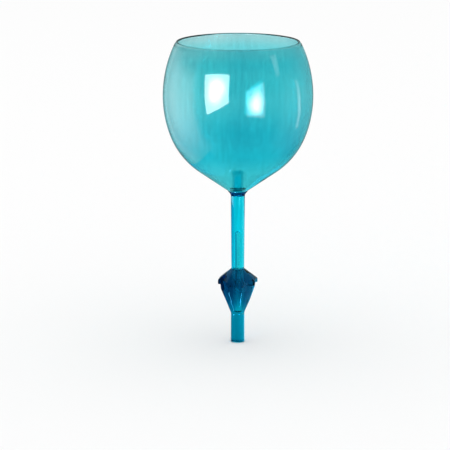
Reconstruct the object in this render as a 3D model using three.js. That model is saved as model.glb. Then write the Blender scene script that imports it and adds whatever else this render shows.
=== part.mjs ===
// Lawn drinks glass: a balloon bowl on a slim stem, which plugs into a gem-cut knob
// moulded in one with a ground spike. Four mouldings share one upright axis.
// Millimetres, +Z up. The origin is on the axis, at the spike's ground line.

import * as THREE from 'three';

// ---- driving dimensions -----------------------------------------------------

const GAP = 0.3; // clearance between faces that seat on, or slide in, one another

const RIM = { radius: 45.3, height: 226.5, land: 0.9, chamfer: 0.45 };
const BELLY = { radius: 55, height: 186.2, lowerArc: 82 };
const SHOULDER_ANGLE = 20; // degrees below horizontal at which the lower wall tightens
const CONE_ANGLE = 35; // slope of the bowl's conical floor, degrees
const WALL = { atRim: 1.8, atNeck: 2.2 };
const NECK = { radius: 7.4, height: 115.7 };
const POST = { radius: 4.2, top: 129.9, edge: 1.2, fillet: 2 };

const COLLAR = { height: 3.1, lip: 0.4, topRadius: 7.2, footRadius: 5.35, hollow: 1.6 };
const STEM = { topRadius: 5.2, footRadius: 4.75 };
const TOP_STUD = { radius: 2.7, length: 14.6, chamfer: 0.5 };
const TENON = { radius: 3.4, length: 13.2, chamfer: 0.6 };
const CORE = { radius: 1.4, top: 85 }; // blind moulding core up the middle of the stem

const KNOB = { top: 56.3, petals: 8, turn: 12 }; // turn of a petal's ridge from the front, degrees
const WELL = { topRadius: 3.1, footRadius: 1.9, foot: 23.4 }; // blind core below the knob's socket
const SPIKE = { radius: 5.1, shaftEnd: -62, pointEnd: -95, tipRadius: 1.2 };

const BOWL_SEGMENTS = 48;
const SLIM_SEGMENTS = 24;
const STEPS_PER_PETAL = 4;

// The knob's rings from its foot up: the radius and height of a petal's ridge,
// then those of the valley between two petals.
const KNOB_RINGS = [
  { ridge: [SPIKE.radius, 22.2], valley: [SPIKE.radius, 23] }, // where the petals leave the shaft
  { ridge: [9.6, 33.5], valley: [9.4, 33] },
  { ridge: [13, 41.5], valley: [11.9, 41.5] },
  { ridge: [13.2, 44.7], valley: [12.1, 46] }, // under the hem
  { ridge: [15.2, 45.1], valley: [13.4, 46.8] },
  { ridge: [15.2, 48.2], valley: [13.6, 49.1] }, // top edge of the hem
  { ridge: [10.3, 52.2], valley: [9.4, 52.7] },
  { ridge: [5, KNOB.top], valley: [4.8, KNOB.top] },
];

// ---- derived heights --------------------------------------------------------

const collarTop = NECK.height - GAP;
const collarFoot = collarTop - COLLAR.height;
const stemTop = collarFoot - GAP;
const stemFoot = KNOB.top + GAP;

// ---- outlines: every point is [radius, height] ------------------------------

const { degToRad, radToDeg, lerp } = THREE.MathUtils;

/** Points on an arc between two directions in degrees, 0 outward and 90 up. */
function arc(centre, radius, from, to, steps) {
  return Array.from({ length: steps + 1 }, (_, i) => {
    const angle = degToRad(lerp(from, to, i / steps));
    return [centre[0] + radius * Math.cos(angle), centre[1] + radius * Math.sin(angle)];
  });
}

/** The bowl's outer wall from rim to neck, each point with its normal in degrees. */
function bowlWall() {
  const rise = RIM.height - BELLY.height;
  const pull = BELLY.radius - RIM.radius;
  const upperArc = (rise * rise + pull * pull) / (2 * pull);
  const rimNormal = radToDeg(Math.asin(rise / upperArc));
  const coneNormal = CONE_ANGLE - 90;

  const upperCentre = [BELLY.radius - upperArc, BELLY.height];
  const lowerCentre = [BELLY.radius - BELLY.lowerArc, BELLY.height];
  const [shoulder] = arc(lowerCentre, BELLY.lowerArc, -SHOULDER_ANGLE, 0, 1);

  // The tight arc leaves the shoulder and meets the cone, smoothly at both ends.
  const slope = Math.tan(degToRad(CONE_ANGLE));
  const shoulderNormal = degToRad(-SHOULDER_ANGLE);
  const across = Math.cos(shoulderNormal) - Math.cos(degToRad(coneNormal));
  const down = Math.sin(shoulderNormal) - Math.sin(degToRad(coneNormal));
  const drop = shoulder[1] - NECK.height - slope * (shoulder[0] - NECK.radius);
  const tightArc = drop / (down - slope * across);
  const tightCentre = [
    shoulder[0] - tightArc * Math.cos(shoulderNormal),
    shoulder[1] - tightArc * Math.sin(shoulderNormal),
  ];

  const stretches = [
    [upperCentre, upperArc, rimNormal, 0, 6],
    [lowerCentre, BELLY.lowerArc, 0, -SHOULDER_ANGLE, 5],
    [tightCentre, tightArc, -SHOULDER_ANGLE, coneNormal, 4],
  ];
  const wall = stretches.flatMap(([centre, radius, from, to, steps], stretch) => {
    const points = arc(centre, radius, from, to, steps);
    const placed = points.map((point, i) => ({ point, normal: lerp(from, to, i / steps) }));
    return stretch === 0 ? placed : placed.slice(1);
  });
  wall.push({ point: [NECK.radius, NECK.height], normal: coneNormal });
  return wall;
}

/** The wall's inner side: the outer wall moved inward by a thickness that grows downward. */
function bowlLining(wall) {
  return wall.map(({ point, normal }) => {
    const depth = (RIM.height - point[1]) / (RIM.height - NECK.height);
    const thickness = lerp(WALL.atRim, WALL.atNeck, depth);
    const angle = degToRad(normal);
    return [point[0] - thickness * Math.cos(angle), point[1] - thickness * Math.sin(angle)];
  });
}

/** Closed section of the bowl: blind post, floor, lining, rim, wall, neck and socket. */
function bowlOutline() {
  const wall = bowlWall();
  const outer = wall.slice(1).map(({ point }) => point);
  const lining = bowlLining(wall).slice(1);
  const floorEnd = lining.pop();

  const slope = Math.tan(degToRad(CONE_ANGLE));
  const coneNormal = CONE_ANGLE - 90;
  const filletAxis = POST.radius + POST.fillet;
  const filletTouch = filletAxis + POST.fillet * Math.cos(degToRad(coneNormal));
  const floorHeight = floorEnd[1] + slope * (filletTouch - floorEnd[0]);
  const filletHeight = floorHeight - POST.fillet * Math.sin(degToRad(coneNormal));

  const innerRim = RIM.radius - 2 * RIM.chamfer - RIM.land;
  const socketRadius = TOP_STUD.radius + GAP;
  const socketTop = stemTop + TOP_STUD.length + 2 * GAP;
  return [
    [0, POST.top],
    ...arc([POST.radius - POST.edge, POST.top - POST.edge], POST.edge, 90, 0, 2),
    ...arc([filletAxis, filletHeight], POST.fillet, -180, coneNormal, 3),
    ...lining.reverse(),
    [innerRim, RIM.height - RIM.chamfer],
    [innerRim + RIM.chamfer, RIM.height],
    [RIM.radius - RIM.chamfer, RIM.height],
    [RIM.radius, RIM.height - RIM.chamfer],
    ...outer,
    [socketRadius, NECK.height],
    [socketRadius, socketTop],
    [0, socketTop],
  ];
}

/** Closed section of the collar, which widens in a hollow curve from stem to neck. */
function collarOutline() {
  const bore = TOP_STUD.radius + GAP;
  const steps = 4;
  const flare = Array.from({ length: steps + 1 }, (_, i) => {
    const t = i / steps;
    const radius = lerp(COLLAR.footRadius, COLLAR.topRadius, t ** COLLAR.hollow);
    return [radius, lerp(collarFoot, collarTop - COLLAR.lip, t)];
  });
  return [
    [bore, collarTop],
    [COLLAR.topRadius, collarTop],
    ...flare.reverse(),
    [bore, collarFoot],
    [bore, collarTop],
  ];
}

/** Section of the stem: stud, seat, tapered shaft, tenon and the blind core hole. */
function stemOutline() {
  const studTop = stemTop + TOP_STUD.length;
  const tenonFoot = stemFoot - TENON.length;
  return [
    [0, studTop],
    [TOP_STUD.radius - TOP_STUD.chamfer, studTop],
    [TOP_STUD.radius, studTop - TOP_STUD.chamfer],
    [TOP_STUD.radius, stemTop],
    [STEM.topRadius, stemTop],
    [STEM.footRadius, stemFoot],
    [TENON.radius, stemFoot],
    [TENON.radius, tenonFoot + TENON.chamfer],
    [TENON.radius - TENON.chamfer, tenonFoot],
    [CORE.radius, tenonFoot],
    [CORE.radius, CORE.top - CORE.radius],
    [0, CORE.top],
  ];
}

// ---- solids -----------------------------------------------------------------

/** Turns an outline, which runs down its outer side, about the upright axis. */
function turned(outline, segments) {
  const points = outline.map(([radius, height]) => new THREE.Vector2(radius, height)).reverse();
  return new THREE.LatheGeometry(points, segments).rotateX(Math.PI / 2);
}

/** Closed body through rings of equally many points, with one point at each end. */
function lofted(foot, rings, head) {
  const count = rings[0].length;
  const vertices = [foot, ...rings.flat(), head];
  const last = vertices.length - 1;
  const at = (ring, i) => 1 + ring * count + (i % count);
  const faces = [];
  for (let i = 0; i < count; i += 1) {
    faces.push(0, at(0, i + 1), at(0, i));
    for (let ring = 0; ring + 1 < rings.length; ring += 1) {
      faces.push(at(ring, i), at(ring, i + 1), at(ring + 1, i + 1));
      faces.push(at(ring, i), at(ring + 1, i + 1), at(ring + 1, i));
    }
    faces.push(last, at(rings.length - 1, i), at(rings.length - 1, i + 1));
  }
  const geometry = new THREE.BufferGeometry().setFromPoints(vertices);
  geometry.setIndex(faces);
  return geometry.toNonIndexed();
}

/** One ring of the knob, straight between each ridge and its valleys. */
function petalRing({ ridge, valley }) {
  const corners = Array.from({ length: 2 * KNOB.petals }, (_, i) => {
    const [radius, height] = i % 2 === 0 ? ridge : valley;
    const angle = (Math.PI * i) / KNOB.petals;
    return new THREE.Vector3(radius * Math.cos(angle), radius * Math.sin(angle), height);
  });
  const steps = STEPS_PER_PETAL / 2;
  return corners.flatMap((corner, i) => {
    const next = corners[(i + 1) % corners.length];
    return Array.from({ length: steps }, (_, k) => corner.clone().lerp(next, k / steps));
  });
}

function roundRing([radius, height]) {
  const count = KNOB.petals * STEPS_PER_PETAL;
  return Array.from({ length: count }, (_, i) => {
    const angle = (2 * Math.PI * i) / count;
    return new THREE.Vector3(radius * Math.cos(angle), radius * Math.sin(angle), height);
  });
}

/** Knob and ground spike in one: point, shaft, petals, then the socket and the well inside. */
function knobSpikeGeometry() {
  const tipAxis = [0, SPIKE.pointEnd + SPIKE.tipRadius];
  const socket = TENON.radius + GAP;
  const socketEnd = stemFoot - TENON.length - GAP;
  const rings = [
    ...arc(tipAxis, SPIKE.tipRadius, -90, -10, 3).slice(1).map(roundRing),
    roundRing([SPIKE.radius, SPIKE.shaftEnd]),
    roundRing([SPIKE.radius, 0]),
    ...KNOB_RINGS.map(petalRing),
    roundRing([socket, KNOB.top]),
    roundRing([socket, socketEnd]),
    roundRing([WELL.topRadius, socketEnd]),
    roundRing([WELL.footRadius, WELL.foot]),
  ];
  const point = new THREE.Vector3(0, 0, SPIKE.pointEnd);
  const wellEnd = new THREE.Vector3(0, 0, WELL.foot);
  return lofted(point, rings, wellEnd).rotateZ(degToRad(KNOB.turn - 90));
}

// ---- assembly ---------------------------------------------------------------

const clearAqua = new THREE.MeshStandardMaterial({
  color: 0x28b9cc,
  roughness: 0.08,
  metalness: 0,
  transparent: true,
  opacity: 0.6,
});
const deepBlue = new THREE.MeshStandardMaterial({
  color: 0x053f70,
  roughness: 0.1,
  metalness: 0,
});

const pieces = [
  ['knob_spike', knobSpikeGeometry(), deepBlue],
  ['stem', turned(stemOutline(), SLIM_SEGMENTS), clearAqua],
  ['joint_collar', turned(collarOutline(), SLIM_SEGMENTS), deepBlue],
  ['bowl', turned(bowlOutline(), BOWL_SEGMENTS), clearAqua],
];

const glass = new THREE.Group();
for (const [name, geometry, material] of pieces) {
  const mesh = new THREE.Mesh(geometry, material);
  mesh.name = name;
  glass.add(mesh);
}

export default glass;
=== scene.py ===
"""Lawn drinks glass: clear aqua balloon bowl on a slim stem, and a gem-cut knob with its spike.

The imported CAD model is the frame. The visible mouldings are turned and lofted here at a
finer step, on the CAD nodes' own heights and radii, and ride on the CAD bodies. Metres, +Z up.
"""

import math

import bmesh
import bpy
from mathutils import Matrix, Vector


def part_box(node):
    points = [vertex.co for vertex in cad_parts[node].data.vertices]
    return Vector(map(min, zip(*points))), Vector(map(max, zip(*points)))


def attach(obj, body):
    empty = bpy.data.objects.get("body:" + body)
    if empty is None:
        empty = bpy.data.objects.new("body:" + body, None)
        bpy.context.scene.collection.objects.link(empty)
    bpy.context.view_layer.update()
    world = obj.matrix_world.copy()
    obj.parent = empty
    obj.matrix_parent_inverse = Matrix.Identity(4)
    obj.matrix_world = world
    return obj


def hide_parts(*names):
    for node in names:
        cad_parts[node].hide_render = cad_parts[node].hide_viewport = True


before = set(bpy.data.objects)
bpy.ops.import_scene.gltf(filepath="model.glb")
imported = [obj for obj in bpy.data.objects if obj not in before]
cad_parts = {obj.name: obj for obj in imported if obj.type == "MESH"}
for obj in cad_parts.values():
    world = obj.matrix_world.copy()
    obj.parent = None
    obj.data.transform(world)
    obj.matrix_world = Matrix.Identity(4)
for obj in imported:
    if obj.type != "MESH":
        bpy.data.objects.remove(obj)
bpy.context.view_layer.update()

MM = 0.001


def low(node):
    """The lowest height of a CAD node."""
    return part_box(node)[0].z


def high(node):
    """The highest height of a CAD node."""
    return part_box(node)[1].z


def widest(node):
    """The largest radius of a CAD node along X."""
    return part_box(node)[1].x


# ---- sizes ------------------------------------------------------------------

GAP = 0.3 * MM

RIM_RADIUS = 45.3 * MM
RIM_Z = high("bowl")
BELLY_RADIUS = widest("bowl")
BELLY_Z = 186.2 * MM
LOWER_ARC = 82 * MM
SHOULDER = math.radians(20)  # how far below the belly the lower wall tightens
CONE = math.radians(35)  # slope of the conical floor
WALL_AT_RIM = 1.8 * MM
WALL_AT_NECK = 2.2 * MM
NECK_RADIUS = 7.4 * MM
NECK_Z = low("bowl")
NECK_CORNER = 0.35 * MM
POST_RADIUS = 4.2 * MM
POST_Z = 129.9 * MM
POST_FILLET = 2 * MM
POST_CORNER = 1.2 * MM
POST_SINK = 0.1 * MM  # how far the post's foot reaches into the floor

COLLAR_Z = (low("joint_collar"), high("joint_collar"))
COLLAR_RADIUS = (5.35 * MM, widest("joint_collar"))
COLLAR_LIP = 0.4 * MM
COLLAR_HOLLOW = 1.6  # power of the collar's hollow curve
COLLAR_CORNER = 0.15 * MM

STUD_RADIUS = 2.7 * MM
STUD_Z = high("stem")
STUD_CHAMFER = 0.5 * MM
STEM_Z = (56.6 * MM, COLLAR_Z[0] - GAP)
STEM_RADIUS = (4.75 * MM, 5.2 * MM)
STEM_CORNER = 0.25 * MM
TENON_RADIUS = 3.4 * MM
TENON_Z = low("stem")
TENON_CHAMFER = 0.6 * MM
CORE_RADIUS = 1.4 * MM
CORE_Z = 85 * MM

KNOB_TOP = high("knob_spike")
PETALS = 8
KNOB_TURN = math.radians(12)  # from the front to the nearest petal's ridge
EDGE_REACH = 0.45 * MM  # how far a rounded edge of the knob reaches into its facets
EDGE_STEPS = 4
WELL_RADIUS = (2.4 * MM, 3.1 * MM)  # the well's domed end, then its mouth
WELL_Z = 23.4 * MM
SPIKE_RADIUS = 5.1 * MM
TAPER_Z = -62 * MM
POINT_Z = low("knob_spike")
TIP_RADIUS = 1.2 * MM
TAPER_TILT = math.radians(6)  # where the blunt point's arc meets the taper

PLASTIC_IOR = 1.49
SOFT_IOR = 1.02  # the faces of the post and of its tight push fit hardly bend light
SOFT_ROUGHNESS = 0.08
SCUFF_SCALE = 260.0
SCUFF_ROUGHNESS = 0.05  # how much the scuffs add to the roughness
FLOW_SCALE = 38.0
FLOW_DEPTH = 0.4 * MM
STREAK_SCALE = 420.0
STREAK_STRETCH = 0.05  # streaks are 20 times as long as they are wide
FULL_DYE = 0.98  # how far the volume colour falls from 1, in the colour that is taken off most

ROUND_STEPS = 240  # faces round the bowl
SLIM_STEPS = 64  # faces round the slim pieces
STRAIGHT = math.radians(155)  # a corner that is wider than this isn't rounded
CORNER_SHARE = 0.45  # the most of each side that a rounded corner may take up
WELD = 0.001 * MM


# ---- outlines: points are (radius, height) -----------------------------------


def arc(centre, radius, start, end, steps):
    """Points on an arc between two directions in radians, 0 outward and pi/2 up."""
    points = []
    for i in range(steps + 1):
        angle = start + (end - start) * i / steps
        points.append((centre[0] + radius * math.cos(angle), centre[1] + radius * math.sin(angle)))
    return points


def rounded(outline, radius, steps=3):
    """The outline with each inner corner between two straight runs turned into a small curve."""
    result = [outline[0]]
    for before, corner, after in zip(outline, outline[1:], outline[2:]):
        a = Vector(before) - Vector(corner)
        b = Vector(after) - Vector(corner)
        reach = min(radius, CORNER_SHARE * a.length, CORNER_SHARE * b.length)
        turn = a.angle(b) if a.length and b.length else math.pi
        if turn > STRAIGHT:
            result.append(corner)
            continue
        start = Vector(corner) + a.normalized() * reach
        end = Vector(corner) + b.normalized() * reach
        for i in range(steps + 1):
            t = i / steps
            p = start.lerp(Vector(corner), t).lerp(Vector(corner).lerp(end, t), t)
            result.append((p.x, p.y))
    result.append(outline[-1])
    return result


def bowl_wall():
    """The bowl's outer wall from rim to neck: points with their outward directions."""
    rise = RIM_Z - BELLY_Z
    pull = BELLY_RADIUS - RIM_RADIUS
    upper_arc = (rise * rise + pull * pull) / (2 * pull)
    rim_angle = math.asin(rise / upper_arc)
    cone_angle = CONE - math.pi / 2
    lower_centre = (BELLY_RADIUS - LOWER_ARC, BELLY_Z)
    shoulder = arc(lower_centre, LOWER_ARC, -SHOULDER, 0, steps=1)[0]

    across = math.cos(SHOULDER) - math.cos(cone_angle)
    down = -math.sin(SHOULDER) - math.sin(cone_angle)
    drop = shoulder[1] - NECK_Z - math.tan(CONE) * (shoulder[0] - NECK_RADIUS)
    tight_arc = drop / (down - math.tan(CONE) * across)
    tight_centre = (
        shoulder[0] - tight_arc * math.cos(SHOULDER),
        shoulder[1] + tight_arc * math.sin(SHOULDER),
    )
    stretches = [
        ((BELLY_RADIUS - upper_arc, BELLY_Z), upper_arc, rim_angle, 0, 18),
        (lower_centre, LOWER_ARC, 0, -SHOULDER, 12),
        (tight_centre, tight_arc, -SHOULDER, cone_angle, 16),
    ]
    wall = []
    for centre, radius, start, end, steps in stretches:
        points = arc(centre, radius, start, end, steps)
        angles = [start + (end - start) * i / steps for i in range(steps + 1)]
        wall += list(zip(points, angles))[1 if wall else 0 :]
    cone_top = wall[-1][0]
    cone_steps = 6
    for i in range(1, cone_steps + 1):
        t = i / cone_steps
        radius = cone_top[0] + (NECK_RADIUS - cone_top[0]) * t
        height = cone_top[1] + (NECK_Z - cone_top[1]) * t
        wall.append(((radius, height), cone_angle))
    return wall


def bowl_lining():
    """The bowl's inner wall from rim to neck, which its thickness sets off from the outer wall."""
    lining = []
    for (radius, height), angle in bowl_wall():
        depth = (RIM_Z - height) / (RIM_Z - NECK_Z)
        thickness = WALL_AT_RIM + (WALL_AT_NECK - WALL_AT_RIM) * depth
        lining.append((radius - thickness * math.cos(angle), height - thickness * math.sin(angle)))
    return lining


def floor_height(radius):
    """The height of the bowl's conical floor at a radius."""
    end_radius, end_height = bowl_lining()[-1]
    return end_height + math.tan(CONE) * (radius - end_radius)


def shell_outline():
    """Closed section of the bowl without its post: lining, rim, wall, neck and socket."""
    wall = bowl_wall()
    bore = STUD_RADIUS + GAP
    lip = WALL_AT_RIM / 2
    rim = arc((RIM_RADIUS - lip, RIM_Z - lip), lip, math.pi, 0, steps=10)
    neck = rounded([wall[-2][0], (NECK_RADIUS, NECK_Z), (bore, NECK_Z)], NECK_CORNER)
    floor_end = (bore, floor_height(bore))
    return (
        [floor_end]
        + bowl_lining()[:0:-1]
        + rim
        + [point for point, _ in wall[1:-2]]
        + neck
        + [floor_end]
    )


def post_outline():
    """Closed section of the blind post, which stands on the conical floor about the stud."""
    bore = STUD_RADIUS + GAP
    socket_z = STUD_Z + 2 * GAP
    fillet_axis = POST_RADIUS + POST_FILLET
    touch = fillet_axis + POST_FILLET * math.sin(CONE)
    fillet_centre = (fillet_axis, floor_height(touch) + POST_FILLET * math.cos(CONE))
    edge_centre = (POST_RADIUS - POST_CORNER, POST_Z - POST_CORNER)
    return (
        [(0, POST_Z)]
        + arc(edge_centre, POST_CORNER, math.pi / 2, 0, steps=6)
        + arc(fillet_centre, POST_FILLET, -math.pi, CONE - math.pi / 2, steps=6)
        + [(bore, floor_height(bore) - POST_SINK), (bore, socket_z), (0, socket_z)]
    )


def collar_outline():
    """Closed section of the collar, which widens in a hollow curve from stem to neck."""
    bore = STUD_RADIUS + GAP
    foot, top = COLLAR_Z
    steps = 10
    flare = []
    for i in range(steps + 1):
        t = 1 - i / steps
        radius = COLLAR_RADIUS[0] + (COLLAR_RADIUS[1] - COLLAR_RADIUS[0]) * t**COLLAR_HOLLOW
        flare.append((radius, foot + (top - COLLAR_LIP - foot) * t))
    ring = [(bore, top), (COLLAR_RADIUS[1], top)] + flare + [(bore, foot)]
    closed = rounded([ring[-1]] + ring + [ring[0]], COLLAR_CORNER, steps=2)[1:-1]
    return closed + [closed[0]]


def stem_outline():
    """Section of the stem: stud, seat, tapered shaft, tenon and the blind core hole."""
    outline = [
        (0, STUD_Z),
        (STUD_RADIUS - STUD_CHAMFER, STUD_Z),
        (STUD_RADIUS, STUD_Z - STUD_CHAMFER),
        (STUD_RADIUS, STEM_Z[1]),
        (STEM_RADIUS[1], STEM_Z[1]),
        (STEM_RADIUS[0], STEM_Z[0]),
        (TENON_RADIUS, STEM_Z[0]),
        (TENON_RADIUS, TENON_Z + TENON_CHAMFER),
        (TENON_RADIUS - TENON_CHAMFER, TENON_Z),
        (CORE_RADIUS, TENON_Z),
        (CORE_RADIUS, CORE_Z - CORE_RADIUS),
    ]
    dome = arc((0, CORE_Z - CORE_RADIUS), CORE_RADIUS, 0, math.pi / 2, steps=6)
    return rounded(outline, STEM_CORNER) + dome[1:-1] + [(0, CORE_Z)]


# ---- meshes -----------------------------------------------------------------


def new_object(name, data):
    """An object in the scene: a mesh, a lamp or a camera."""
    made = bpy.data.objects.new(name, data)
    bpy.context.scene.collection.objects.link(made)
    return made


def mesh_data(name, mesh):
    """Turns a bmesh into mesh data and frees it."""
    data = bpy.data.meshes.new(name)
    mesh.to_mesh(data)
    mesh.free()
    return data


def finish_mesh(name, mesh, body, node, material, smooth_angle=40, is_soft=None):
    """Turns a bmesh into a piece that rides on a body and stands for a CAD node.

    is_soft tells of a radius and a height whether a face there hardly bends light.
    """
    bmesh.ops.remove_doubles(mesh, verts=mesh.verts, dist=WELD)
    bmesh.ops.recalc_face_normals(mesh, faces=mesh.faces)
    data = mesh_data(name, mesh)
    soft = data.attributes.new("soft", "FLOAT", "FACE")
    for face in data.polygons:
        x, y, z = face.center
        soft.data[face.index].value = 1.0 if is_soft and is_soft(math.hypot(x, y), z) else 0.0
    piece = new_object(name, data)
    data.materials.append(material)
    data.set_sharp_from_angle(angle=math.radians(smooth_angle))
    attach(piece, body)
    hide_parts(node)


def turned(outlines, steps):
    """Closed turned shapes as one bmesh, each from an outline of (radius, height) points."""
    mesh = bmesh.new()
    for outline in outlines:
        rings = []
        for radius, height in outline:
            if radius == 0:
                rings.append([mesh.verts.new((0, 0, height))])
                continue
            ring = []
            for i in range(steps):
                angle = 2 * math.pi * i / steps
                place = (radius * math.cos(angle), radius * math.sin(angle), height)
                ring.append(mesh.verts.new(place))
            rings.append(ring)
        for upper, lower in zip(rings, rings[1:]):
            join_rings(mesh, upper, lower)
    for face in mesh.faces:
        face.smooth = True
    return mesh


def join_rings(mesh, upper, lower):
    """Faces between two rings of vertices, either of which may be a single point."""
    count = max(len(upper), len(lower))
    for i in range(count):
        j = (i + 1) % count
        corners = [upper[i % len(upper)], upper[j % len(upper)]]
        corners += [lower[j % len(lower)], lower[i % len(lower)]]
        face = list(dict.fromkeys(corners))
        if len(face) > 2:
            mesh.faces.new(face)


def softened(corners, closed=False):
    """A run of points with each corner as a short curve, which turns a sharp edge round."""
    soft = []
    count = len(corners)
    for i, corner in enumerate(corners):
        if not closed and i in (0, count - 1):
            soft.append(corner)
            continue
        before = corner + (corners[i - 1] - corner).normalized() * EDGE_REACH
        after = corner + (corners[(i + 1) % count] - corner).normalized() * EDGE_REACH
        for step in range(EDGE_STEPS + 1):
            t = step / EDGE_STEPS
            soft.append(before.lerp(corner, t).lerp(corner.lerp(after, t), t))
    return soft


def petal_ring(mesh, ridge, valley):
    """One ring of the knob, straight between each ridge and the valleys beside it."""
    corners = []
    for i in range(2 * PETALS):
        radius, height = valley if i % 2 else ridge
        angle = math.pi * i / PETALS + KNOB_TURN - math.pi / 2
        corners.append(Vector((radius * math.cos(angle), radius * math.sin(angle), height)))
    return [mesh.verts.new(point) for point in softened(corners, closed=True)]


def round_ring(mesh, radius, height):
    """A round ring with as many points as a petal ring, in step with it."""
    count = 2 * PETALS * (EDGE_STEPS + 1)
    ring = []
    for i in range(count):
        angle = 2 * math.pi * (i - EDGE_STEPS / 2) / count + KNOB_TURN - math.pi / 2
        ring.append(mesh.verts.new((radius * math.cos(angle), radius * math.sin(angle), height)))
    return ring


def knob_spike_mesh():
    """Knob and spike in one: point, shaft, faceted petals, then the socket and the well inside."""
    mesh = bmesh.new()
    # Each row is a ridge's radius and height, then a valley's, in millimetres.
    rows = (
        (5.1, 22.2, 5.1, 23.0),
        (9.6, 33.5, 9.4, 33.0),
        (13.0, 41.5, 11.9, 41.5),
        (13.2, 44.7, 12.1, 46.0),
        (15.2, 45.1, 13.4, 46.8),
        (15.2, 48.2, 13.6, 49.1),
        (10.3, 52.2, 9.4, 52.7),
        (5.0, 56.3, 4.8, 56.3),
    )
    shaft = Vector((SPIKE_RADIUS, 0))
    socket = TENON_RADIUS + GAP
    socket_end = TENON_Z - GAP
    mouth = Vector((socket, KNOB_TOP))
    ridges = [shaft] + [Vector(row[:2]) * MM for row in rows] + [mouth]
    valleys = [shaft] + [Vector(row[2:]) * MM for row in rows] + [mouth]
    tip = arc((0, POINT_Z + TIP_RADIUS), TIP_RADIUS, -math.pi / 2, -TAPER_TILT, steps=6)

    rings = [[mesh.verts.new((0, 0, POINT_Z))]]
    rings += [round_ring(mesh, radius, height) for radius, height in tip[1:]]
    rings += [round_ring(mesh, SPIKE_RADIUS, height) for height in (TAPER_Z, TAPER_Z / 2, 0)]
    for ridge, valley in list(zip(softened(ridges), softened(valleys)))[1:-1]:
        rings.append(petal_ring(mesh, ridge, valley))
    rings.append(round_ring(mesh, socket, KNOB_TOP))
    rings.append(round_ring(mesh, socket, socket_end))
    rings.append(round_ring(mesh, WELL_RADIUS[1], socket_end))
    dome = arc((0, WELL_Z + WELL_RADIUS[0]), WELL_RADIUS[0], 0, -math.pi / 2, steps=10)
    rings += [round_ring(mesh, radius, height) for radius, height in dome[:-1]]
    rings.append([mesh.verts.new((0, 0, WELL_Z))])
    for below, above in zip(rings, rings[1:]):
        join_rings(mesh, below, above)
    return mesh


# ---- materials --------------------------------------------------------------


def fill_ramp(node, stops):
    """Gives a colour ramp its stops: places from 0 to 1, each with its colour."""
    ramp = node.color_ramp
    ramp.interpolation = "EASE"
    ramp.elements.remove(ramp.elements[1])
    for i, (place, colour) in enumerate(stops):
        stop = ramp.elements.new(place) if i else ramp.elements[0]
        stop.position = place
        stop.color = (*colour, 1)


def tint_along(tree, point, axis, stops):
    """A colour that follows one axis of the object: stops are places in metres and colours."""
    start, end = stops[0][0], stops[-1][0]
    split = tree.nodes.new("ShaderNodeSeparateXYZ")
    tree.links.new(point, split.inputs["Vector"])
    reach = tree.nodes.new("ShaderNodeMapRange")
    reach.inputs["From Min"].default_value = start
    reach.inputs["From Max"].default_value = end
    tree.links.new(split.outputs[axis], reach.inputs["Value"])
    ramp = tree.nodes.new("ShaderNodeValToRGB")
    fill_ramp(ramp, [((place - start) / (end - start), colour) for place, colour in stops])
    tree.links.new(reach.outputs["Result"], ramp.inputs["Fac"])
    return ramp.outputs["Color"]


def noise(tree, point, scale, detail):
    """A noise over the object. Scales are per metre."""
    node = tree.nodes.new("ShaderNodeTexNoise")
    node.inputs["Scale"].default_value = scale
    node.inputs["Detail"].default_value = detail
    tree.links.new(point, node.inputs["Vector"])
    return node


def streak_tint(tree, point, depth):
    """A grey that darkens the tint in upright streaks."""
    squeeze = tree.nodes.new("ShaderNodeMapping")
    squeeze.inputs["Scale"].default_value = (1, 1, STREAK_STRETCH)
    tree.links.new(point, squeeze.inputs["Vector"])
    streaks = noise(tree, squeeze.outputs["Vector"], STREAK_SCALE, detail=2.0)
    ramp = tree.nodes.new("ShaderNodeValToRGB")
    fill_ramp(ramp, ((0.35, (1 - depth,) * 3), (0.6, (1, 1, 1))))
    tree.links.new(streaks.outputs["Fac"], ramp.inputs["Fac"])
    return ramp.outputs["Color"]


def blended(tree, colours, blend="MULTIPLY"):
    """The product of some colour sockets, or their sum where blend is ADD."""
    result = colours[0]
    for colour in colours[1:]:
        mix = tree.nodes.new("ShaderNodeMix")
        mix.data_type = "RGBA"
        mix.blend_type = blend
        mix.inputs["Factor"].default_value = 1.0
        tree.links.new(result, mix.inputs["A"])
        tree.links.new(colour, mix.inputs["B"])
        result = mix.outputs["Result"]
    return result


def mixed_value(tree, factor, plain, full):
    """A number that goes from plain, a number or a socket, to full as a factor goes from 0 to 1."""
    mix = tree.nodes.new("ShaderNodeMix")
    mix.inputs["B"].default_value = full
    tree.links.new(factor, mix.inputs["Factor"])
    if isinstance(plain, float):
        mix.inputs["A"].default_value = plain
    else:
        tree.links.new(plain, mix.inputs["A"])
    return mix.outputs["Result"]


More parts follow.
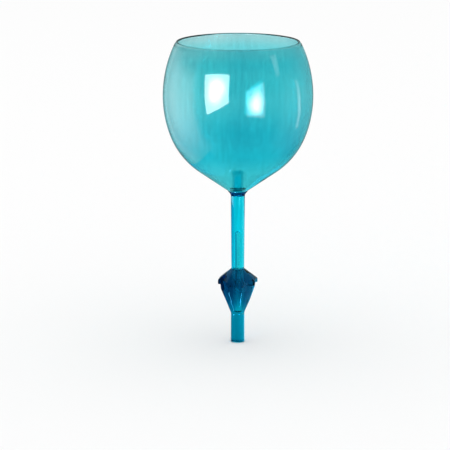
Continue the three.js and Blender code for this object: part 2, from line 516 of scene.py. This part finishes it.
def clear_plastic(name, taken, painted_shading, streaks=0.1, roughness=0.03, waviness=0.15, gleam=(1, 1, 1)):
    """Transparent dyed plastic. taken is what its dye takes off each metre, in red, green and blue.

    The tints that follow an axis are painted light and shade, paler or darker along it. Fine scuffs
    vary the gloss, and a slow waviness stands for the moulding's flow. gleam tints reflections.
    """
    material = bpy.data.materials.new(name)
    material.use_nodes = True
    tree = material.node_tree
    nodes = tree.nodes
    links = tree.links
    shader = nodes["Principled BSDF"]
    shader.inputs["Transmission Weight"].default_value = 1.0
    shader.inputs["Specular Tint"].default_value = (*gleam, 1)
    place = nodes.new("ShaderNodeTexCoord").outputs["Object"]

    scuffs = noise(tree, place, SCUFF_SCALE, detail=6.0)
    scuffs.inputs["Roughness"].default_value = 0.65
    gloss = nodes.new("ShaderNodeMapRange")
    gloss.inputs["From Min"].default_value = 0.35
    gloss.inputs["From Max"].default_value = 0.8
    gloss.inputs["To Min"].default_value = roughness
    gloss.inputs["To Max"].default_value = roughness + SCUFF_ROUGHNESS
    links.new(scuffs.outputs["Fac"], gloss.inputs["Value"])
    soft = nodes.new("ShaderNodeAttribute")
    soft.attribute_name = "soft"
    rough = mixed_value(tree, soft.outputs["Fac"], gloss.outputs["Result"], SOFT_ROUGHNESS)
    links.new(rough, shader.inputs["Roughness"])
    bend = mixed_value(tree, soft.outputs["Fac"], PLASTIC_IOR, SOFT_IOR)
    links.new(bend, shader.inputs["IOR"])

    flow = noise(tree, place, FLOW_SCALE, detail=2.0)
    bump = nodes.new("ShaderNodeBump")
    bump.inputs["Strength"].default_value = waviness
    bump.inputs["Distance"].default_value = FLOW_DEPTH
    links.new(flow.outputs["Fac"], bump.inputs["Height"])
    links.new(bump.outputs["Normal"], shader.inputs["Normal"])

    # The tints along the axes are painted light and shade.
    tints = [tint_along(tree, place, axis, stops) for axis, stops in painted_shading]
    tints.append(streak_tint(tree, place, streaks))
    tint = nodes.new("ShaderNodeMix")
    tint.data_type = "RGBA"
    tint.inputs["B"].default_value = (1, 1, 1, 1)
    links.new(soft.outputs["Fac"], tint.inputs["Factor"])
    links.new(blended(tree, tints), tint.inputs["A"])
    links.new(tint.outputs["Result"], shader.inputs["Base Color"])

    dye = nodes.new("ShaderNodeVolumeAbsorption")
    density = max(taken) / FULL_DYE
    dye.inputs["Color"].default_value = (*[1 - t / density for t in taken], 1)
    dye.inputs["Density"].default_value = density
    links.new(dye.outputs["Volume"], nodes["Material Output"].inputs["Volume"])
    return material


# ---- the object -------------------------------------------------------------

# Tints are shares of red, green and blue that a surface lets by. The bowl's tints are painted light
# and shade:
# it is painted palest at its rim, at its neck and left of its middle, and darkest just above its
# floor.
bowl_painted_shading_up = (
    (116 * MM, (0.7, 1.0, 1.0)),
    (131 * MM, (0.58, 0.97, 0.99)),
    (150 * MM, (0.17, 0.78, 0.86)),
    (172 * MM, (0.39, 0.84, 0.88)),
    (190 * MM, (0.48, 0.87, 0.89)),
    (203 * MM, (0.33, 0.82, 0.85)),
    (214 * MM, (0.38, 0.8, 0.83)),
    (226 * MM, (0.8, 0.8, 0.8)),
)
bowl_painted_shading_across = (
    (-54 * MM, (1.0, 0.84, 0.84)),
    (-38 * MM, (1.0, 0.95, 0.94)),
    (-19 * MM, (1.0, 1.0, 1.0)),
    (2 * MM, (0.78, 0.93, 0.95)),
    (28 * MM, (0.88, 0.98, 0.99)),
    (54 * MM, (0.9, 0.96, 0.97)),
)
# The stem, and the knob with its spike, are painted darker on their left: painted shade.
stem_painted_shading_across = (
    (-5.2 * MM, (0.3, 0.28, 0.42)),
    (-3.6 * MM, (0.35, 0.4, 0.55)),
    (-1.8 * MM, (0.8, 0.94, 0.97)),
    (1.5 * MM, (1.0, 1.0, 1.0)),
    (5.2 * MM, (0.9, 0.95, 0.97)),
)
knob_painted_shading_across = (
    (-5.2 * MM, (0.5, 0.6, 0.72)),
    (-1.5 * MM, (0.9, 0.94, 0.96)),
    (2 * MM, (1.0, 1.0, 1.0)),
)
thin_aqua = clear_plastic(
    "clear_aqua_plastic",
    (330, 55, 42),
    (("Z", bowl_painted_shading_up), ("X", bowl_painted_shading_across)),
    streaks=0.07,
    waviness=0.5,
)
thick_aqua = clear_plastic(
    "solid_aqua_plastic",
    (600, 42, 19),
    (("X", stem_painted_shading_across),),
    streaks=0.3,
    waviness=0.25,
    gleam=(0.1, 0.7, 0.85),
)
deep_blue = clear_plastic(
    "deep_blue_plastic",
    (900, 128, 84),
    (("X", knob_painted_shading_across),),
    roughness=0.01,
    waviness=0.05,
    gleam=(0.1, 0.6, 0.85),
)
collar_blue = clear_plastic(
    "collar_blue_plastic", (900, 330, 180), (), roughness=0.01, gleam=(0.1, 0.6, 0.85)
)


def on_bowl_post(radius, height):
    """Whether a point is on the post inside the bowl, or in the post's socket."""
    on_post = radius < POST_RADIUS + POST_FILLET and height > floor_height(radius) - 2 * POST_SINK
    return on_post or radius < STUD_RADIUS + 2 * GAP


def on_stem_stud(radius, height):
    """Whether a point is on the stud that goes up into the bowl."""
    return radius < STUD_RADIUS + GAP and height > STEM_Z[1] + GAP


finish_mesh(
    "balloon_bowl",
    turned([shell_outline(), post_outline()], ROUND_STEPS),
    "bowl_body",
    "bowl",
    thin_aqua,
    is_soft=on_bowl_post,
)
finish_mesh(
    "flared_collar",
    turned([collar_outline()], SLIM_STEPS),
    "collar_body",
    "joint_collar",
    collar_blue,
)
finish_mesh(
    "slim_stem",
    turned([stem_outline()], SLIM_STEPS),
    "stem_body",
    "stem",
    thick_aqua,
    is_soft=on_stem_stud,
)
finish_mesh(
    "gem_knob_spike",
    knob_spike_mesh(),
    "spike_body",
    "knob_spike",
    deep_blue,
    smooth_angle=12,
)


# ---- stage ------------------------------------------------------------------


FLOOR_REACH = 60.0
TENT_RADIUS = 12.0
CARD_FADE = 0.55  # how far from a card's middle its own glow ends, as a share of the card's side


def stage_mesh(name, data):
    """Puts a mesh on the stage in a material of its own. Gives the object and its node tree."""
    material = bpy.data.materials.new(name)
    material.use_nodes = True
    data.materials.append(material)
    prop = new_object(name, data)
    return prop, material.node_tree


def gloss_only(prop, through=False):
    """Shows a stage object to reflections alone, or through the plastic too if through is set."""
    prop.visible_camera = False
    prop.visible_diffuse = False
    prop.visible_shadow = False
    prop.visible_transmission = through


def emission_in(tree):
    """An emission in place of the tree's usual shader."""
    tree.nodes.remove(tree.nodes["Principled BSDF"])
    return tree.nodes.new("ShaderNodeEmission")


def floor():
    """A wide pale floor at the ground line, which the gloss of the object doesn't mirror."""
    mesh = bmesh.new()
    bmesh.ops.create_grid(mesh, x_segments=1, y_segments=1, size=FLOOR_REACH)
    plane, tree = stage_mesh("floor", mesh_data("floor", mesh))
    plane.visible_glossy = False
    shader = tree.nodes["Principled BSDF"]
    shader.inputs["Base Color"].default_value = (0.9, 0.9, 0.9, 1)
    shader.inputs["Roughness"].default_value = 1.0
    shader.inputs["Specular IOR Level"].default_value = 0.0


def card(name, corners, glow, centre_glow=None, colour=(1, 1, 1), through=False, one_sided=False):
    """A glowing four-sided card that only the plastic shows, with its own glow at its middle.

    Corners are in millimetres. A one-sided card glows on the side from which they run clockwise,
    and is clear from the other side.
    """
    data = bpy.data.meshes.new(name)
    data.from_pydata([Vector(corner) * MM for corner in corners], [], [(0, 1, 2, 3)])
    layer = data.uv_layers.new(name="UVMap")
    for loop, corner in zip(layer.data, ((0, 1), (1, 1), (1, 0), (0, 0))):
        loop.uv = corner
    panel, tree = stage_mesh(name, data)
    gloss_only(panel, through)
    nodes = tree.nodes
    links = tree.links
    emission = emission_in(tree)
    emission.inputs["Color"].default_value = (*colour, 1)
    place = nodes.new("ShaderNodeTexCoord")
    middle = nodes.new("ShaderNodeVectorMath")
    middle.operation = "DISTANCE"
    middle.inputs[1].default_value = (0.5, 0.5, 0)
    links.new(place.outputs["UV"], middle.inputs[0])
    fade = nodes.new("ShaderNodeMapRange")
    fade.interpolation_type = "SMOOTHERSTEP"
    fade.inputs["From Min"].default_value = 0.0
    fade.inputs["From Max"].default_value = CARD_FADE
    fade.inputs["To Min"].default_value = centre_glow or glow
    fade.inputs["To Max"].default_value = glow
    links.new(middle.outputs["Value"], fade.inputs["Value"])
    links.new(fade.outputs["Result"], emission.inputs["Strength"])
    surface = emission.outputs["Emission"]
    if one_sided:
        side = nodes.new("ShaderNodeNewGeometry")
        both = nodes.new("ShaderNodeMixShader")
        links.new(side.outputs["Backfacing"], both.inputs["Fac"])
        links.new(nodes.new("ShaderNodeBsdfTransparent").outputs["BSDF"], both.inputs[1])
        links.new(surface, both.inputs[2])
        surface = both.outputs["Shader"]
    links.new(surface, nodes["Material Output"].inputs["Surface"])


def facing_in(bearing, spread, radius, bottom, top):
    """Corners in millimetres of an upright card that faces the axis.

    bearing runs from the front towards the right, and the card reaches spread to each side of
    it, both in degrees.
    """
    sides = [math.radians(bearing + turn) for turn in (spread, -spread)]
    left, right = [(radius * math.sin(side), -radius * math.cos(side)) for side in sides]
    return (*left, top), (*right, top), (*right, bottom), (*left, bottom)


def studio_world():
    """An even pale sky."""
    world = bpy.data.worlds.new("studio")
    bpy.context.scene.world = world
    world.use_nodes = True
    background = world.node_tree.nodes["Background"]
    background.inputs["Color"].default_value = (1, 1, 1, 1)
    background.inputs["Strength"].default_value = 1.0


def tent():
    """A blue-grey tent that only the gloss mirrors.

    It is dimmest low down, and a pale band glows on its left.
    """
    mesh = bmesh.new()
    bmesh.ops.create_uvsphere(mesh, u_segments=48, v_segments=24, radius=TENT_RADIUS)
    dome, tree = stage_mesh("tent", mesh_data("tent", mesh))
    gloss_only(dome)
    emission = emission_in(tree)
    place = tree.nodes.new("ShaderNodeTexCoord").outputs["Object"]

    def glow_along(axis, red, stops):
        """A glow that follows one axis, with its red as a share of its green and blue."""
        coloured = [(at, (level * red, level, level)) for at, level in stops]
        return tint_along(tree, place, axis, coloured)

    # Stops are places in metres and levels. The band is the product of the last three glows.
    up = ((-12, 0.02), (-7, 0.05), (-3.4, 0.25), (0, 0.32), (3, 0.25), (7, 0.2), (12, 0.4))
    left = ((-12, 4.2), (-8, 1.4), (-4, 0.1), (0, 0.0), (6, 0.05), (12, 0.5))
    behind = ((-10, 0.0), (-6, 0.2), (-2, 1.0), (12, 1.0))
    belt = ((-11.5, 0.0), (-7.5, 1.0), (-4, 1.0), (1, 0.9), (4.5, 0.3), (12, 0.3))
    overall = glow_along("Z", 0.7, up)
    band = [glow_along("X", 0.85, left), glow_along("Y", 1, behind), glow_along("Z", 1, belt)]

    total = blended(tree, [overall, blended(tree, band)], "ADD")
    tree.links.new(total, emission.inputs["Color"])
    tree.links.new(emission.outputs["Emission"], tree.nodes["Material Output"].inputs["Surface"])


def floor_light():
    """A wide soft lamp overhead for the floor alone."""
    light = bpy.data.lights.new("floor_light", "AREA")
    light.size = 6
    light.energy = 38
    lamp = new_object("floor_light", light)
    lamp.location = (0, 0, 5)
    lamp.visible_camera = False
    lamp.visible_glossy = False
    lamp.visible_transmission = False


def camera():
    """A long lens above the rim, with the glass right of the picture's middle."""
    distance = 1.5
    height = 0.438
    aim = Vector((-0.0095, 0, 0.0894))
    data = bpy.data.cameras.new("camera")
    data.sensor_width = 36
    data.lens = 166.2
    data.clip_end = 50
    view = new_object("camera", data)
    view.location = (aim.x, -distance, height)
    view.rotation_euler = (aim - view.location).to_track_quat("-Z", "Y").to_euler()
    bpy.context.scene.camera = view


floor()
floor_light()
studio_world()
tent()
# Each card's corners run round it from one of its top corners.
window = ((-230, -190, 290), (-70, -290, 310), (-65, -290, 170), (-210, -215, 105))
card("window", window, glow=11, centre_glow=34, through=True)
far_window = ((80, -390, 230), (250, -315, 285), (250, -310, 60), (80, -390, 75))
card("far_window", far_window, glow=3, centre_glow=26)
door = ((800, 80, 280), (780, 190, 250), (740, 300, -170), (770, 210, -190))
card("door", door, glow=2, centre_glow=3.5)
shelf = ((700, -390, 710), (770, -230, 680), (740, -290, 400), (700, -390, 390))
card("shelf", shelf, glow=1.5, centre_glow=2.5)
# A dark flag on the left keeps the pale side of the tent off the stem and the knob.
flag = ((-60, -60, 97), (-60, 100, 97), (-60, 100, -120), (-60, -60, -120))
card("flag", flag, glow=0.4, colour=(0.02, 0.28, 0.9))
# A blue card low behind lights the knob's right-hand edge.
edge = ((15, 200, 0), (150, 200, 0), (150, 200, -100), (15, 200, -100))
card("edge", edge, glow=1, colour=(0.03, 0.5, 0.8))
# Low cards round the foot, facing in, light the ridges of the petals from below.
for bearing in (27, 295):
    low_card = facing_in(bearing, spread=17, radius=26, bottom=1, top=24)
    card(f"low_card_{bearing}", low_card, glow=14, colour=(0.2, 0.7, 1.0), one_sided=True)
# A ring close round the shaft keeps the low cards off it, and is brighter on the right.
for bearing in range(0, 360, 45):
    screen = facing_in(bearing, spread=22.5, radius=8.5, bottom=-2, top=20)
    glow = 2.0 if 45 <= bearing <= 135 else 0.3
    card(f"screen_{bearing}", screen, glow, colour=(0.05, 0.6, 0.8), one_sided=True)
camera()
bpy.context.scene.view_settings.view_transform = "Standard"
bpy.context.scene.cycles.max_bounces = 24
bpy.context.scene.cycles.transmission_bounces = 24
bpy.context.scene.cycles.glossy_bounces = 12
